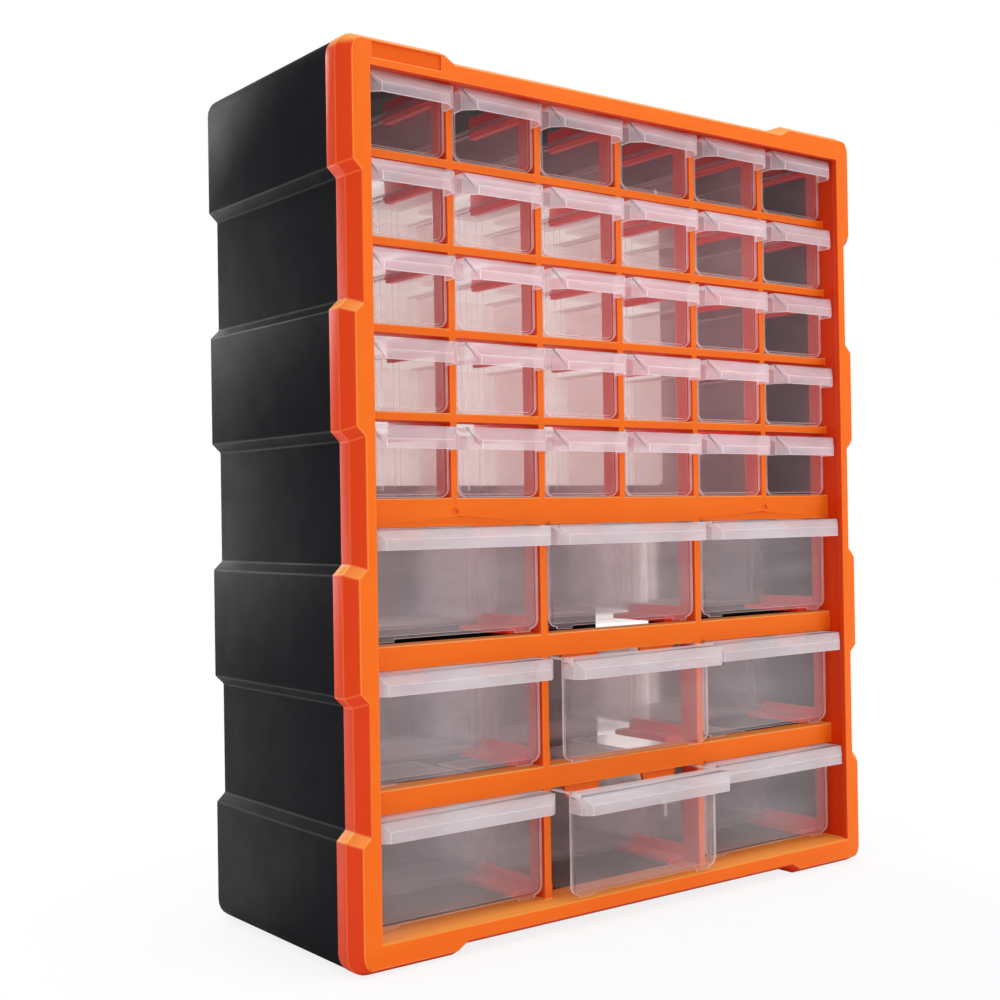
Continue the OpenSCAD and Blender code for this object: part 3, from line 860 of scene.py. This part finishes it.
@dataclass(frozen=True)
class Viewpoint:
    """The camera of the photograph.

    Attributes:
        place: Place of the camera in metres.
        yaw: Turn of the view from +Y towards +X, in degrees.
        pitch: Upward tilt of the view in degrees.
        roll: Turn of the camera about the view in degrees.
        focal: Focal length as a share of the picture's width.
        centre_x: Where the optical axis meets the picture, from its left edge, as a share.
    """

    place: Colour = (-0.5527, -0.72198, 0.23116)
    yaw: float = 39.585
    pitch: float = 0.451
    roll: float = -0.911
    focal: float = 1.4772
    centre_x: float = 0.62

    def build(self) -> bpy.types.Object:
        """Make the camera and look through it."""
        data = bpy.data.cameras.new("camera")
        data.sensor_width = 36.0
        data.lens = self.focal * data.sensor_width
        data.shift_x = 0.5 - self.centre_x
        yaw, pitch, roll = (math.radians(a) for a in (self.yaw, self.pitch, self.roll))
        ahead = Vector((math.sin(yaw) * math.cos(pitch), math.cos(yaw) * math.cos(pitch),
                        math.sin(pitch)))
        right = Vector((math.cos(yaw), -math.sin(yaw), 0))
        up = right.cross(ahead)
        side = right * math.cos(roll) + up * math.sin(roll)
        top = up * math.cos(roll) - right * math.sin(roll)
        turn = Matrix((side, top, -ahead)).transposed().to_4x4()
        camera = bpy.data.objects.new("camera", data)
        camera.matrix_world = Matrix.Translation(Vector(self.place)) @ turn
        data.clip_start, data.clip_end = 0.01, 50
        bpy.context.scene.collection.objects.link(camera)
        bpy.context.scene.camera = camera
        return camera


@dataclass(frozen=True)
class SoftLight:
    """A square soft light that looks at the middle of the cabinet.

    Attributes:
        name: Name of the light.
        place: Place of the light in metres.
        size: Side of the square in metres.
        power: Power in watts.
        colour: Colour of the light.
    """

    name: str
    place: Colour
    size: float
    power: float
    colour: Colour = (1, 1, 1)

    def build(self) -> None:
        """Make the light."""
        data = bpy.data.lights.new(self.name, "AREA")
        data.size, data.energy, data.color = self.size, self.power, self.colour
        lamp = bpy.data.objects.new(self.name, data)
        lamp.location = self.place
        lamp.rotation_mode = "QUATERNION"
        lamp.rotation_quaternion = (Vector((0, 0, 0.24)) - Vector(self.place)).to_track_quat(
            "-Z", "Y")
        bpy.context.scene.collection.objects.link(lamp)


@dataclass(frozen=True)
class Studio:
    """White surroundings, the floor and the lights.

    Attributes:
        ambient: Strength of the even light from all round.
        floor_half: Half the side of the floor in metres.
        floor_glow: Share of the floor that shows plain white to the camera near the cabinet.
        shadow_reach: Distances from the cabinet between which the floor turns all white.
    """

    ambient: float = 0.72
    floor_half: float = 6.0
    floor_glow: float = 0.84
    shadow_reach: tuple[float, float] = (0.35, 1.3)
    lights: tuple[SoftLight, ...] = (
        SoftLight("key_light", (0.9, -2.1, 1.5), 1.4, 9),
        SoftLight("top_light", (-0.1, -0.5, 2.2), 1.2, 12),
        SoftLight("back_light", (0.15, 2.2, 0.6), 1.2, 55),
    )

    def seen(self, graph: Graph) -> Value:
        """Mask of the rays that show the background itself."""
        rays = graph.node("ShaderNodeLightPath")
        camera, through = (Value(graph, rays.outputs[n])
                           for n in ("Is Camera Ray", "Is Transmission Ray"))
        return camera.maths("MAXIMUM", through)

    def build_world(self) -> None:
        """Make the white surroundings."""
        world = bpy.data.worlds.new("surroundings")
        world.use_nodes = True
        bpy.context.scene.world = world
        graph = Graph(world.node_tree)
        strength = self.seen(graph) * (1 - self.ambient) + self.ambient
        back = graph.node("ShaderNodeBackground", None, {"Color": (1, 1, 1), "Strength": strength})
        graph.node("ShaderNodeOutputWorld", None, {"Surface": back})

    def build_floor(self) -> None:
        """Make the pale floor, which keeps a soft shadow of the cabinet."""
        half = self.floor_half
        mesh = bpy.data.meshes.new("floor")
        mesh.from_pydata([(-half, -half, 0), (half, -half, 0), (half, half, 0), (-half, half, 0)],
                         [], [(0, 1, 2, 3)])
        s = Surface("pale_floor")
        matt = s.node("ShaderNodeBsdfDiffuse", None, {"Color": (0.9, 0.9, 0.9)})
        glow = s.node("ShaderNodeEmission", None, {"Color": (1, 1, 1), "Strength": 1.0})
        away = s.value("ShaderNodeVectorMath", {"operation": "LENGTH"}, {0: s.place}, "Value")
        white = away.ramped(*self.shadow_reach) * (1 - self.floor_glow) + self.floor_glow
        both = s.node("ShaderNodeMixShader", None,
                      {"Fac": self.seen(s) * white, 1: matt, 2: glow})
        mesh.materials.append(s.finish(both))
        placed(mesh, "floor")

    def build(self) -> None:
        """Make everything around the cabinet."""
        scene = bpy.context.scene
        scene.view_settings.view_transform = "Standard"
        scene.cycles.transparent_max_bounces = 64
        scene.cycles.max_bounces = 12
        scene.cycles.diffuse_bounces = 5
        self.build_world()
        self.build_floor()
        for light in self.lights:
            light.build()


def main() -> None:
    """Build the studio and the cabinet."""
    logging.basicConfig(level=logging.INFO, format="%(message)s")
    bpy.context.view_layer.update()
    Viewpoint().build()
    Studio().build()
    palette = Palette()
    pieces = [FrontFrame(palette).build(), RearShell(palette).build()]
    for kind in DrawerKind:
        pieces += Drawers(palette, kind).build()
    pieces += [GuideRails(palette, kind).build() for kind in GuideKind]
    for piece in pieces:
        log.info("%s: %d faces", piece.name, len(piece.data.polygons))


if __name__ == "__main__":
    main()
